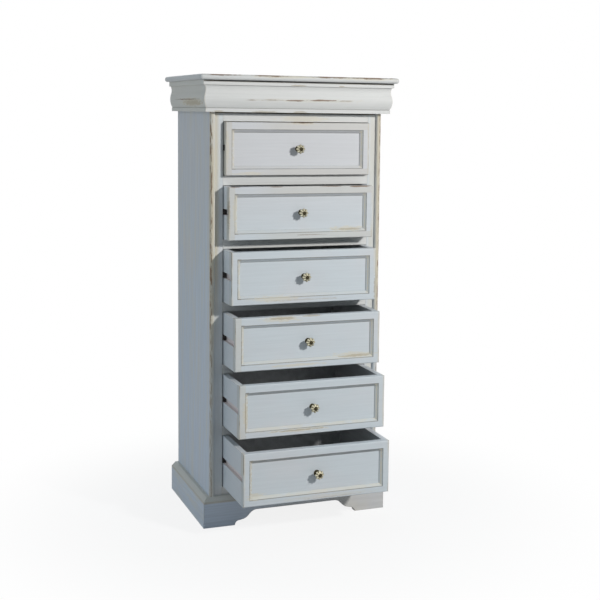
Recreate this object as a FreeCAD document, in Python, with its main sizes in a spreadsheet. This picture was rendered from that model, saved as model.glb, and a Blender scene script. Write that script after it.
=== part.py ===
import FreeCAD, Part
import math
import os
import Sketcher

# A tall painted chest: six panelled drawers on side runners, and a seventh behind the ogee cornice.
# Frame: X to the right, Y to the back, Z up. The origin is on the floor at the middle of the back.
# Each drawer stands open by its own size, as the chest was found; a drawer's own frame has its origin
# at the middle of the lower edge of its front face.

doc = FreeCAD.newDocument("Semainier")
Vector = FreeCAD.Vector

SIZES = {
    "overall_height": 1250,
    "carcass_width": 500,
    "carcass_depth": 364,
    "side_thick": 14,
    "side_round": 6,
    "back_thick": 6,
    "bottom_thick": 12,
    "top_thick": 15,
    "top_overhang": 38.5,
    "top_bullnose": 7,
    "top_corner_ease": 2,
    "frame_recess": 9,
    "frame_thick": 20,
    "frame_round": 1.2,
    "stile_width": 23.5,
    "top_rail": 22,
    "divider_rail": 26,
    "bottom_rail": 23,
    "rail_tongue": 24,
    "plinth_height": 84,
    "plinth_front_reach": 12,
    "plinth_side_reach": 21,
    "plinth_bevel": 12,
    "plinth_back_thick": 18,
    "foot_width": 90,
    "foot_toe": 13,
    "foot_step": 8,
    "foot_sweep": 41,
    "apron_rise": 39,
    "block_size": 40,
    "cornice_height": 85,
    "cornice_gap": 3,
    "cornice_foot_reach": 18.2,
    "cornice_foot_height": 10,
    "cornice_neck_reach": 16.2,
    "cornice_turn_reach": 21.3,
    "cornice_cove_height": 24,
    "cornice_brow_reach": 21.5,
    "cornice_head_reach": 26,
    "cornice_head_height": 10,
    "belly_radius": 46,
    "cove_radius": 30,
    "drawer_side_gap": 2.5,
    "drawer_top_gap": 1.5,
    "drawer_back_gap": 6,
    "front_thick": 20,
    "front_round": 2.5,
    "border_side": 18,
    "border_top": 20,
    "border_bottom": 17.5,
    "quirk_depth": 0.8,
    "sticking_width": 8,
    "sticking_depth": 8,
    "panel_depth": 9,
    "box_side_thick": 15,
    "box_back_thick": 12,
    "box_bottom_thick": 5,
    "box_bottom_height": 12,
    "box_bottom_tongue": 5,
    "box_back_set": 8,
    "groove_depth": 9.5,
    "groove_height": 16.5,
    "groove_from_top": 70,
    "runner_play": 1.5,
    "runner_side_gap": 1,
    "runner_short": 14,
    "batten_height": 24,
    "frieze_side_thick": 12,
    "bearer_width": 30,
    "bearer_height": 14,
    "knob_reach": 31,
    "knob_radius": 13,
    "petal_notch": 2.2,
    "bolt_radius": 2,
    "slack": 0.3,
    "open_1": 8,
    "open_2": 39,
    "open_3": 68,
    "open_4": 104,
    "open_5": 145,
    "open_6": 185,
}
DRAWERS = 6
PETALS = 8
# Outline of a knob from the drawer outwards: share of its reach, share of its full radius
KNOB_OUTLINE = (
    (0, 0.64),
    (0.06, 0.64),
    (0.15, 0.4),
    (0.45, 0.42),
    (0.66, 0.92),
    (0.74, 1),
    (0.92, 0.46),
    (0.92, 0.36),
    (1, 0.26),
)

sheet = doc.addObject("Spreadsheet::Sheet", "Sizes")
for row, (alias, number) in enumerate(SIZES.items(), start=1):
    sheet.set(f"A{row}", alias)
    sheet.set(f"B{row}", str(number))
    sheet.setAlias(f"B{row}", alias)
doc.recompute()


class Size:
    """A length that carries both its value and the sheet expression it comes from."""

    def __init__(self, value, text=None):
        self.value = float(value)
        self.text = text or repr(float(value))

    def __add__(self, other):
        other = as_size(other)
        return Size(self.value + other.value, f"({self.text} + {other.text})")

    def __sub__(self, other):
        other = as_size(other)
        return Size(self.value - other.value, f"({self.text} - {other.text})")

    def __mul__(self, factor):
        return Size(self.value * factor, f"({self.text} * {factor})")

    def __truediv__(self, factor):
        return Size(self.value / factor, f"({self.text} / {factor})")

    def __neg__(self):
        return Size(-self.value, f"(0 - {self.text})")


def as_size(number):
    return number if isinstance(number, Size) else Size(number)


def size(alias):
    return Size(sheet.get(alias), f"Sizes.{alias}")


def limited(length, wall):
    """The length, or what its wall leaves room for."""
    return Size(min(length.value, wall.value), f"min({length.text}; {wall.text})")


def bind(item, prop, length):
    item.setExpression(prop, as_size(length).text)


ZERO = Size(0)
HERE = (ZERO, ZERO, ZERO)


def origin_of(body, role):
    return next(f for f in body.Origin.OriginFeatures if f.Role == role)


def place_at(item, place):
    for axis, length in zip("xyz", place):
        bind(item, "Placement.Base." + axis, length)


def new_body(label, place=HERE):
    body = doc.addObject("PartDesign::Body", label)
    body.Label = label
    place_at(body, place)
    return body


def new_sketch(body, role, offset=0):
    sketch = body.newObject("Sketcher::SketchObject", "Outline")
    sketch.AttachmentSupport = [(origin_of(body, role), "")]
    sketch.MapMode = "FlatFace"
    bind(sketch, "AttachmentOffset.Base.z", offset)
    return sketch


def pin(sketch, kind, *where, length):
    number = sketch.addConstraint(Sketcher.Constraint(kind, *where, length.value))
    sketch.setExpression(f"Constraints[{number}]", length.text)


def arc_between(start, end, radius, side):
    """The short arc from start to end whose centre lies to the left (side 1) or the right (side -1)."""
    chord = end - start
    left = Vector(-chord.y, chord.x, 0).normalize()
    centre = (start + end) * 0.5 + left * (side * math.sqrt(radius**2 - (chord.Length / 2) ** 2))
    first, last = (start, end) if side > 0 else (end, start)
    angles = [math.atan2(p.y - centre.y, p.x - centre.x) for p in (first, last)]
    return Part.ArcOfCircle(Part.Circle(centre, Vector(0, 0, 1), radius), *angles)


def draw_loop(sketch, corners):
    """A closed loop through corners (x, y), or (x, y, radius, side) where an arc leads to the next."""
    first = sketch.GeometryCount
    count = len(corners)
    points = [Vector(as_size(c[0]).value, as_size(c[1]).value, 0) for c in corners]
    starts = []
    for i, corner in enumerate(corners):
        ends = points[i], points[(i + 1) % count]
        if len(corner) == 2:
            sketch.addGeometry(Part.LineSegment(*ends))
            starts.append(1)
        else:
            sketch.addGeometry(arc_between(*ends, as_size(corner[2]).value, corner[3]))
            starts.append(1 if corner[3] > 0 else 2)
    for i in range(count):
        after = (i + 1) % count
        sketch.addConstraint(
            Sketcher.Constraint("Coincident", first + i, 3 - starts[i], first + after, starts[after])
        )
    for i, corner in enumerate(corners):
        pin(sketch, "DistanceX", -1, 1, first + i, starts[i], length=as_size(corner[0]))
        pin(sketch, "DistanceY", -1, 1, first + i, starts[i], length=as_size(corner[1]))
        if len(corner) == 4:
            pin(sketch, "Radius", first + i, length=as_size(corner[2]))


def draw_circle(sketch, x, y, radius):
    x, y, radius = as_size(x), as_size(y), as_size(radius)
    circle = Part.Circle(Vector(x.value, y.value, 0), Vector(0, 0, 1), radius.value)
    number = sketch.addGeometry(circle)
    pin(sketch, "DistanceX", -1, 1, number, 3, length=x)
    pin(sketch, "DistanceY", -1, 1, number, 3, length=y)
    pin(sketch, "Radius", number, length=radius)


def loops_on(body, role, *loops, offset=0):
    sketch = new_sketch(body, role, offset)
    for corners in loops:
        draw_loop(sketch, corners)
    return sketch


def circle_on(body, role, x, y, radius, offset=0):
    sketch = new_sketch(body, role, offset)
    draw_circle(sketch, x, y, radius)
    return sketch


def rect(x0, y0, x1, y1):
    return [(x0, y0), (x1, y0), (x1, y1), (x0, y1)]


def pad(body, sketch, length, flip=False):
    feature = body.newObject("PartDesign::Pad", "Pad")
    feature.Profile = sketch
    bind(feature, "Length", length)
    feature.Reversed = flip
    return feature


def pocket(body, sketch, length, flip=False):
    """Cuts against the sketch plane's normal, or along it when flipped; the volume must fall."""
    doc.recompute()
    before = body.Shape.Volume
    feature = body.newObject("PartDesign::Pocket", "Pocket")
    feature.Profile = sketch
    bind(feature, "Length", length)
    feature.Reversed = flip
    doc.recompute()
    if body.Shape.Volume > before - 1:
        raise RuntimeError(f"a pocket of {body.Label} cuts nothing")
    return feature


def fillet(body, pick, radius):
    """Rounds the edges of the body so far whose middle point passes the test."""
    doc.recompute()
    base = body.Tip
    names = [f"Edge{i}" for i, edge in enumerate(base.Shape.Edges, start=1) if pick(edge.CenterOfMass)]
    feature = body.newObject("PartDesign::Fillet", "Fillet")
    feature.Base = (base, names)
    bind(feature, "Radius", radius)
    doc.recompute()
    return feature


def at(value, target):
    return abs(value - as_size(target).value) < 0.01


def plank(label, low, high, place=HERE):
    """A plain board between two opposite corners, as a body that later features can work on."""
    body = new_body(label, place)
    face = loops_on(body, "XY_Plane", rect(low[0], low[1], high[0], high[1]), offset=low[2])
    pad(body, face, as_size(high[2]) - low[2])
    return body


def block(label, low, high):
    item = doc.addObject("Part::Box", label)
    for prop, i in (("Length", 0), ("Width", 1), ("Height", 2)):
        bind(item, prop, as_size(high[i]) - low[i])
    place_at(item, [as_size(v) for v in low])
    return item


def group(label, members):
    item = doc.addObject("Part::Compound", label)
    item.Links = members
    item.Label = label
    return item


nodes = []


def keep(item):
    nodes.append(item)
    return item


# Driving sizes and what follows from them
half = size("carcass_width") / 2
depth = size("carcass_depth")
inner = half - size("side_thick")
opening = inner - size("stile_width")
top_under = size("overall_height") - size("top_thick")
cornice_z = top_under - size("cornice_height")
frame_y = size("frame_recess") - depth
frame_back = frame_y + size("frame_thick")
plinth_top = size("plinth_height")
rail_z = plinth_top - size("rail_tongue")
first_opening = plinth_top + size("bottom_rail")
last_opening = cornice_z - size("cornice_gap") - size("top_rail")
pitch = (last_opening - first_opening + size("divider_rail")) / DRAWERS
front_half = opening - size("drawer_side_gap")
front_height = pitch - size("divider_rail") - size("drawer_top_gap") * 2
slack = size("slack")


def drawer_z(k):
    """Height of the lower edge of drawer k, counted from the top."""
    return first_opening + pitch * (DRAWERS - k) + size("drawer_top_gap")


def drawer_place(k):
    return ZERO, -(depth + size(f"open_{k}")), drawer_z(k)


def runner_z(k):
    return drawer_z(k) + front_height - size("groove_from_top")


# Carcass
reach = size("top_overhang")
top_x = half + reach
top_y = -depth - reach
top = keep(plank("top_board", (-top_x, top_y, top_under), (top_x, ZERO, size("overall_height"))))
bullnose = limited(size("top_bullnose"), size("top_thick") * 0.47)
corner = bullnose + size("top_corner_ease")
fillet(top, lambda p: at(abs(p.x), top_x) and at(p.y, top_y), corner)


def nosing(p):
    """True for the upper and lower edges along the front, the sides and the rounded corners."""
    at_mid_height = at(p.z, top_under + size("top_thick") / 2)
    return not at_mid_height and not at(p.y, 0)


fillet(top, nosing, bullnose)

for name, hand in (("left", -1), ("right", 1)):
    panel = keep(new_body(f"side_panel_{name}"))
    notch = [
        (-depth, plinth_top),
        (frame_y, plinth_top),
        (frame_y, ZERO),
        (ZERO, ZERO),
        (ZERO, top_under),
        (-depth, top_under),
    ]
    face = loops_on(panel, "YZ_Plane", notch, offset=half * hand)
    pad(panel, face, size("side_thick"), flip=hand > 0)
    fillet(panel, lambda p: at(p.y, -depth) and at(p.z, (plinth_top + top_under) / 2), size("side_round"))

keep(plank("back_panel", (-inner, -size("back_thick"), plinth_top), (inner, ZERO, top_under)))
keep(plank(
    "bottom_board",
    (-inner, frame_back, rail_z),
    (inner, -size("plinth_back_thick"), rail_z + size("bottom_thick")),
))


def soft_front(body, pick):
    """Eases the long front edges of a face-frame member."""
    return fillet(body, lambda p: at(p.y, frame_y) and pick(p), size("frame_round"))


frame_top = cornice_z - size("cornice_gap")
for name, hand in (("left", -1), ("right", 1)):
    near, far = sorted((inner * hand, opening * hand), key=lambda s: s.value)
    stile = keep(plank(f"stile_{name}", (near, frame_y, rail_z), (far, frame_back, frame_top)))
    soft_front(stile, lambda p: at(p.x, near) or at(p.x, far))


def rail(label, low, high):
    board = plank(label, (-opening, frame_y, low), (opening, frame_back, high))
    soft_front(board, lambda p: at(p.x, 0))
    return board


keep(rail("top_rail", last_opening, frame_top))
dividers = []
for k in range(1, DRAWERS):
    low = first_opening + pitch * k - size("divider_rail")
    dividers.append(rail(f"divider_{k}", low, low + size("divider_rail")))
keep(group("divider_rails", dividers))
keep(rail("bottom_rail", rail_z, first_opening))

# Plinth: bevelled boards, mitred at the front corners; the front is sawn to bracket feet
plinth_x = half + size("plinth_side_reach")
plinth_y = -depth - size("plinth_front_reach")
bevel = size("plinth_bevel")
front = keep(new_body("plinth_front"))
section = [
    (plinth_y, ZERO),
    (frame_y, ZERO),
    (frame_y, plinth_top),
    (plinth_y + bevel, plinth_top),
    (plinth_y, plinth_top - bevel),
]
pad(front, loops_on(front, "YZ_Plane", section, offset=-plinth_x), plinth_x * 2)
board = frame_y - plinth_y
mitres = [
    [(plinth_x * s, plinth_y), (plinth_x * s, frame_y), ((plinth_x - board) * s, frame_y)] for s in (-1, 1)
]
pocket(front, loops_on(front, "XY_Plane", *mitres), plinth_top, flip=True)
toe = size("foot_toe")
foot_x = plinth_x - size("foot_width")
step_x = foot_x - toe
sweep_x = step_x - size("foot_step")
arch_x = sweep_x - size("foot_sweep")
rise = size("apron_rise")
step_z = toe + size("foot_step") / 5
turn_x = (sweep_x + arch_x) / 2
turn_z = (step_z + rise) / 2
left_foot = [
    (-foot_x, ZERO, toe, -1),
    (-step_x, toe),
    (-sweep_x, step_z, toe * 2.4, 1),
    (-turn_x, turn_z, toe * 2.4, -1),
    (-arch_x, rise),
]
right_foot = [
    (arch_x, rise, toe * 2.4, -1),
    (turn_x, turn_z, toe * 2.4, 1),
    (sweep_x, step_z),
    (step_x, toe, toe, -1),
    (foot_x, ZERO),
]
pocket(front, loops_on(front, "XZ_Plane", left_foot + right_foot, offset=-plinth_y), board)

for name, hand in (("left", -1), ("right", 1)):
    side = keep(new_body(f"plinth_{name}"))
    section = [
        (half * hand, ZERO),
        (half * hand, plinth_top),
        ((plinth_x - bevel) * hand, plinth_top),
        (plinth_x * hand, plinth_top - bevel),
        (plinth_x * hand, ZERO),
    ]
    pad(side, loops_on(side, "XZ_Plane", section), -plinth_y)
    width = size("plinth_side_reach")
    mitre = [(plinth_x * hand, plinth_y), (half * hand, plinth_y), (half * hand, plinth_y + width)]
    pocket(side, loops_on(side, "XY_Plane", mitre), plinth_top, flip=True)

keep(plank("plinth_back", (-inner, -size("plinth_back_thick"), ZERO), (inner, ZERO, plinth_top)))
blocks = []
for hand in (-1, 1):
    x0, x1 = sorted((inner * hand, (inner - size("block_size")) * hand), key=lambda s: s.value)
    for y0, y1 in (
        (frame_y, frame_y + size("block_size")),
        (-size("plinth_back_thick") - size("block_size"), -size("plinth_back_thick")),
    ):
        blocks.append(block(f"block_{len(blocks) + 1}", (x0, y0, slack * 10), (x1, y1, rail_z)))
keep(group("corner_blocks", blocks))


# Cornice: one ogee outline for the fixed side mouldings and for the front of the seventh drawer
def ogee(turn, height):
    """Corners of the moulding's outline from its lower back edge; turn flips it to the other hand."""
    foot = size("cornice_foot_height")
    brow = size("cornice_height") - size("cornice_gap") - size("cornice_head_height")
    side = -1 if turn < 0 else 1
    return [
        (ZERO, ZERO),
        (size("cornice_foot_reach") * turn, ZERO),
        (size("cornice_foot_reach") * turn, foot),
        (size("cornice_neck_reach") * turn, foot, size("belly_radius"), side),
        (size("cornice_turn_reach") * turn, brow - size("cornice_cove_height"), size("cove_radius"), -side),
        (size("cornice_brow_reach") * turn, brow),
        (size("cornice_head_reach") * turn, brow),
        (size("cornice_head_reach") * turn, height),
        (ZERO, height),
    ]


head = size("cornice_head_reach") + 4
for name, hand in (("left", -1), ("right", 1)):
    moulding = keep(new_body(f"cornice_{name}", (half * hand, ZERO, cornice_z)))
    pad(moulding, loops_on(moulding, "XZ_Plane", ogee(hand, size("cornice_height"))), depth + head)
    mitre = [(ZERO, -depth), (ZERO, -depth - head), (head * hand, -depth - head)]
    pocket(moulding, loops_on(moulding, "XY_Plane", mitre), size("cornice_height"), flip=True)

# Runners and what carries them
runner_height = size("groove_height") - size("runner_play")
runners = []
battens = []
for k in range(1, DRAWERS + 1):
    for hand in (-1, 1):
        tip = front_half - size("groove_depth") + size("runner_side_gap")
        x0, x1 = sorted((opening * hand, tip * hand), key=lambda s: s.value)
        low = runner_z(k) - runner_height / 2
        runners.append(block(
            f"runner_{len(runners) + 1}",
            (x0, frame_y, low),
            (x1, -size("runner_short"), low + runner_height),
        ))
        x0, x1 = sorted((inner * hand, opening * hand), key=lambda s: s.value)
        low = runner_z(k) - size("batten_height") / 2
        battens.append(block(
            f"batten_{len(battens) + 1}",
            (x0, frame_back, low),
            (x1, -size("back_thick"), low + size("batten_height")),
        ))
for hand in (-1, 1):
    x0, x1 = sorted((inner * hand, (inner - size("bearer_width")) * hand), key=lambda s: s.value)
    battens.append(block(
        f"bearer_{hand + 2}",
        (x0, frame_back, cornice_z - size("bearer_height")),
        (x1, -size("back_thick"), cornice_z),
    ))
keep(group("drawer_runners", runners))
keep(group("runner_battens", battens))

# Drawers
side_thick = size("box_side_thick")
tongue = size("box_bottom_tongue")
slot_low = size("box_bottom_height")
slot_high = slot_low + size("box_bottom_thick") + slack
groove_low = front_height - size("groove_from_top") - size("groove_height") / 2
groove_high = groove_low + size("groove_height")
box_half = front_half - side_thick
length = depth - size("back_thick") - size("drawer_back_gap")
thick = size("front_thick")


def panelled_front(label, place):
    """Front board: rounded arris, quirked bevel about a sunk panel, stopped grooves, slot and knob hole."""
    body = new_body(label, place)
    outline = loops_on(body, "XZ_Plane", rect(-front_half, ZERO, front_half, front_height))
    pad(body, outline, thick, flip=True)
    fillet(body, lambda p: at(p.y, 0), size("front_round"))

    def sunk(inset, at_depth):
        x = front_half - size("border_side") - inset
        low = size("border_bottom") + inset
        high = front_height - size("border_top") - inset
        return loops_on(body, "XZ_Plane", rect(-x, low, x, high), offset=-at_depth)

    pocket(body, sunk(ZERO, ZERO), size("quirk_depth"))
    sticking = body.newObject("PartDesign::SubtractiveLoft", "Sticking")
    sticking.Profile = sunk(slack * 2, size("quirk_depth"))
    sticking.Sections = [sunk(size("sticking_width"), size("sticking_depth"))]
    sticking.Ruled = True
    edge = sunk(size("sticking_width"), size("sticking_depth"))
    pocket(body, edge, size("panel_depth") - size("sticking_depth"))
    depth_in = size("groove_depth")
    ends = [
        rect(-front_half, groove_low, -front_half + depth_in, groove_high),
        rect(front_half - depth_in, groove_low, front_half, groove_high),
    ]
    stop = thick - size("frame_recess") + slack
    pocket(body, loops_on(body, "XZ_Plane", *ends, offset=-thick), stop, flip=True)
    slot = rect(-box_half - tongue, slot_low, box_half + tongue, slot_high)
    pocket(body, loops_on(body, "XZ_Plane", slot, offset=-thick), tongue + slack, flip=True)
    hole = circle_on(body, "XZ_Plane", ZERO, front_height / 2, size("bolt_radius") + slack)
    pocket(body, hole, thick)
    return body


def box_side(label, place, hand):
    x0, x1 = sorted((front_half * hand, box_half * hand), key=lambda s: s.value)
    body = plank(label, (x0, thick, ZERO), (x1, length, front_height), place)
    run = loops_on(body, "YZ_Plane", rect(thick, groove_low, length, groove_high), offset=front_half * hand)
    pocket(body, run, size("groove_depth"), flip=hand < 0)
    slot = loops_on(body, "YZ_Plane", rect(thick, slot_low, length, slot_high), offset=box_half * hand)
    pocket(body, slot, tongue, flip=hand > 0)
    return body


def knob(k):
    """Cast rosette on a waisted neck, with its bolt, on the sunk panel of drawer k.

    One bar carries the outline of two opposite petals; turned about the axis it gives them all."""
    x, y, z = drawer_place(k)
    place = x, y + size("panel_depth"), z + front_height / 2
    rim = size("knob_radius")
    out = size("knob_reach")
    casting = new_body(f"knob_casting_{k}", place)
    upper = [(-out * share, rim * scale) for share, scale in KNOB_OUTLINE]
    lower = [(along, -across) for along, across in reversed(upper)]
    bar_width = (rim - size("petal_notch")) * (2 * math.sin(math.pi / PETALS))
    bar = pad(casting, loops_on(casting, "YZ_Plane", upper + lower, offset=-bar_width / 2), bar_width)
    petals = casting.newObject("PartDesign::PolarPattern", "Petals")
    petals.Originals = [bar]
    petals.Axis = (origin_of(casting, "Y_Axis"), [""])
    petals.Occurrences = PETALS // 2
    petals.Angle = 180 - 360 / PETALS
    casting.Tip = petals
    shank = size("bolt_radius")
    pocket(casting, circle_on(casting, "XZ_Plane", ZERO, ZERO, shank + slack), out * 0.56, flip=True)
    bolt = new_body(f"knob_bolt_{k}", place)
    seat = thick - size("panel_depth")
    pad(bolt, circle_on(bolt, "XZ_Plane", ZERO, ZERO, shank, offset=-seat), seat + out * 0.5)
    nut = rect(-shank * 1.8, -shank * 1.8, shank * 1.8, shank * 1.8)
    pad(bolt, loops_on(bolt, "XZ_Plane", nut, offset=-seat), shank, flip=True)
    return group(f"drawer_{k}_knob", [casting, bolt])


for k in range(1, DRAWERS + 1):
    place = drawer_place(k)
    keep(panelled_front(f"drawer_{k}_front", place))
    keep(box_side(f"drawer_{k}_side_left", place, -1))
    keep(box_side(f"drawer_{k}_side_right", place, 1))
    rear = length - size("box_back_set")
    keep(plank(
        f"drawer_{k}_back",
        (-box_half, rear - size("box_back_thick"), slot_high),
        (box_half, rear, front_height - slot_low),
        place,
    ))
    keep(plank(
        f"drawer_{k}_bottom",
        (slack - box_half - tongue, thick - tongue, slot_low),
        (box_half + tongue - slack, rear, slot_low + size("box_bottom_thick")),
        place,
    ))
    keep(knob(k))

# The seventh drawer, closed: its front is the cornice moulding between two mitres
frieze_place = ZERO, -depth - slack * 2, cornice_z
frieze_height = size("cornice_height") - size("cornice_gap")
frieze = keep(new_body("frieze_drawer_front", frieze_place))
pad(frieze, loops_on(frieze, "YZ_Plane", ogee(-1, frieze_height), offset=-half - head), (half + head) * 2)
mitres = [[(half * s, ZERO), ((half + head) * s, ZERO), ((half + head) * s, -head)] for s in (-1, 1)]
pocket(frieze, loops_on(frieze, "XY_Plane", *mitres), size("cornice_height"), flip=True)
frieze_half = inner - size("drawer_side_gap")
frieze_inner = frieze_half - size("frieze_side_thick")
frieze_length = length - slack * 2
frieze_top = frieze_height - slack * 4
for name, hand in (("left", -1), ("right", 1)):
    x0, x1 = sorted((frieze_half * hand, frieze_inner * hand), key=lambda s: s.value)
    side = keep(plank(
        f"frieze_drawer_side_{name}", (x0, ZERO, slack), (x1, frieze_length, frieze_top), frieze_place
    ))
    slot = rect(ZERO, slot_low, frieze_length, slot_high)
    pocket(side, loops_on(side, "YZ_Plane", slot, offset=frieze_inner * hand), tongue, flip=hand > 0)
frieze_rear = frieze_length - size("box_back_set")
keep(plank(
    "frieze_drawer_back",
    (-frieze_inner, frieze_rear - size("box_back_thick"), slot_high),
    (frieze_inner, frieze_rear, frieze_top - slot_low),
    frieze_place,
))
keep(plank(
    "frieze_drawer_bottom",
    (slack - frieze_inner - tongue, ZERO, slot_low),
    (frieze_inner + tongue - slack, frieze_rear, slot_low + size("box_bottom_thick")),
    frieze_place,
))

doc.recompute()
for item in doc.Objects:
    if "Invalid" in item.State or "Error" in item.State:
        raise RuntimeError(f"{item.Label} did not build")
os.makedirs("parts", exist_ok=True)
for item in nodes:
    shape = item.Shape
    if shape.isNull() or not shape.isValid() or not shape.Solids:
        raise RuntimeError(f"{item.Label} has no sound solid")
    shape.exportStep(f"parts/{item.Label}.step")
print(len(nodes), "sub-parts")
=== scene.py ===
import math

import bmesh
import bpy
from mathutils import Matrix, Vector


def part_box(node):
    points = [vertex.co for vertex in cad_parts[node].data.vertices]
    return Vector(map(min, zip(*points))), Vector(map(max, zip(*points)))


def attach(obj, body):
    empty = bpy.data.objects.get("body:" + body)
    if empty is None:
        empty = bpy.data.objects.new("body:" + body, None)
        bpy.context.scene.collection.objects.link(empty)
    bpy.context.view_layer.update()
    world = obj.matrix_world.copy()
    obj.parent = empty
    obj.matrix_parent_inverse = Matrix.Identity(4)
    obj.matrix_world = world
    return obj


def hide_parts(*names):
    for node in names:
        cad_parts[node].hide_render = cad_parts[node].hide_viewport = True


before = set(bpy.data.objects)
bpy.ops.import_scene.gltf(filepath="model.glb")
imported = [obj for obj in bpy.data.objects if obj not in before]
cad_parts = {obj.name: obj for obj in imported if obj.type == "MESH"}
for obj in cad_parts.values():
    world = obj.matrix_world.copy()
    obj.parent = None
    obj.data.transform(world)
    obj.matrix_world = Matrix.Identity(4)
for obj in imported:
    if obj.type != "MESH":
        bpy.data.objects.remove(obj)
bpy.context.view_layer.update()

bl_info = {
    "name": "Painted Semainier",
    "version": (1, 0, 0),
    "blender": (4, 5, 0),
    "location": "View3D > Sidebar > Semainier",
    "description": "Rubbed paint, cast knobs and a plain studio for a tall chest of drawers",
    "category": "Object",
}

# Drawers, in metres: the fronts, their mouldings and the boxes behind them
DRAWERS = range(1, 7)
DRAWER_PITCH = 0.174
ROW_MARGIN = 0.01
LOWEST_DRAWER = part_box("drawer_6_front")[0][2]
FRONT_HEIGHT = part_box("drawer_6_front")[1][2] - LOWEST_DRAWER
FRONT_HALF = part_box("drawer_6_front")[1][0]
BORDER_SIDE = 0.018
BORDER_TOP = 0.020
BORDER_BOTTOM = 0.0175
MOULDING_WIDTH = 0.008
GROOVE_MIDDLE = FRONT_HEIGHT - 0.070
GROOVE_HALF = 0.00825
BOX_SIDE = 0.015

# Heights of the gaps between neighbouring drawers
GAP_2_3 = 0.79, 0.80
GAP_3_4 = 0.61, 0.62
GAP_5_6 = 0.27, 0.28

# Outer and front faces of the side panels
SIDE_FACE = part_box("side_panel_right")[1][0]
SIDE_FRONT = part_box("side_panel_right")[0][1]

# Paint: reach of the wear about edges and of the dirt and painted shade in hollows, borders of a
# worn patch, relief
EDGE_REACH = 0.004
HOLLOW_REACH = 0.012
EDGE_SAMPLES = 8
PATCH_RIM, PATCH_CORE = 1.15, 0.55
RAGGEDNESS = 2.6
PAINT_BUMP = 0.25
EASED_EDGE = 0.001
EASED_FRONT = 0.0008
FEATHER = 0.003
SOFT_LINE = 0.001


class PaintSettings(bpy.types.PropertyGroup):
    """Colours of the paint and of what shows where it is rubbed through."""

    cool: bpy.props.FloatVectorProperty(
        name="Paint", description="Cool white of the paint", subtype="COLOR", size=3,
        default=(0.608, 0.664, 0.704),
    )
    # The bluish colour of shade, painted onto the paint where shaded asks for it
    blue: bpy.props.FloatVectorProperty(
        name="Shade_tinted paint", description="Paint that has kept its blue on the shaded side",
        subtype="COLOR", size=3, default=(0.565, 0.645, 0.76),
    )
    warm: bpy.props.FloatVectorProperty(
        name="Aged paint", description="Paint where it has yellowed", subtype="COLOR", size=3,
        default=(0.634, 0.644, 0.669),
    )
    white: bpy.props.FloatVectorProperty(
        name="White paint", description="Warmer white of the frame and the cornice",
        subtype="COLOR", size=3, default=(0.70, 0.70, 0.685),
    )
    # Paler paint of the drawer sides; the whiter share on the upper drawers is painted light
    box: bpy.props.FloatVectorProperty(
        name="Box paint", description="Paler paint on the drawer sides", subtype="COLOR", size=3,
        default=(0.755, 0.785, 0.82),
    )
    # Dark colour for dirt in the hollows, also used to paint shade and shadow lines there
    glaze_and_shade: bpy.props.FloatVectorProperty(
        name="Glaze", description="Dust and old glaze in the hollows", subtype="COLOR", size=3,
        default=(0.11, 0.105, 0.095),
    )
    cream: bpy.props.FloatVectorProperty(
        name="Undercoat", description="Cream undercoat along rubbed edges", subtype="COLOR", size=3,
        default=(0.68, 0.63, 0.50),
    )
    ochre: bpy.props.FloatVectorProperty(
        name="Rubbed wood", description="Wood that shows through a rubbed edge", subtype="COLOR",
        size=3, default=(0.38, 0.31, 0.20),
    )
    brown: bpy.props.FloatVectorProperty(
        name="Chipped wood", description="Old wood in chips and scratches", subtype="COLOR", size=3,
        default=(0.19, 0.115, 0.07),
    )


class WoodSettings(bpy.types.PropertyGroup):
    """Colours of the unpainted wood."""

    pine: bpy.props.FloatVectorProperty(
        name="Pine", description="Bare wood of the back and the blocks", subtype="COLOR", size=3,
        default=(0.58, 0.43, 0.27),
    )
    lining: bpy.props.FloatVectorProperty(
        name="Lining", description="Stained inside of the drawers", subtype="COLOR", size=3,
        default=(0.52, 0.53, 0.54),
    )
    groove: bpy.props.FloatVectorProperty(
        name="Groove", description="Bare wood in the runner grooves", subtype="COLOR", size=3,
        default=(0.80, 0.73, 0.72),
    )
    runner: bpy.props.FloatVectorProperty(
        name="Runner", description="Light grain of the blackened runners", subtype="COLOR", size=3,
        default=(0.02, 0.017, 0.015),
    )
    runner_dark: bpy.props.FloatVectorProperty(
        name="Runner grain", description="Dark grain of the blackened runners", subtype="COLOR",
        size=3, default=(0.006, 0.005, 0.005),
    )


class KnobSettings(bpy.types.PropertyGroup):
    """Sizes and colours of the cast knobs."""

    radius: bpy.props.FloatProperty(
        name="Radius", description="Radius over the petals", subtype="DISTANCE", unit="LENGTH",
        default=0.013,
    )
    reach: bpy.props.FloatProperty(
        name="Reach", description="How far a knob stands out of its panel",
        subtype="DISTANCE", unit="LENGTH", default=0.031,
    )
    petals: bpy.props.IntProperty(
        name="Petals", description="Petals of the rosette", default=8, min=5, max=16
    )
    metal: bpy.props.FloatVectorProperty(
        name="Metal", description="Worn metal on the petals", subtype="COLOR", size=3,
        default=(0.56, 0.52, 0.38),
    )
    patina: bpy.props.FloatVectorProperty(
        name="Patina", description="Dark patina in the hollows", subtype="COLOR", size=3,
        default=(0.05, 0.042, 0.02),
    )


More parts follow.
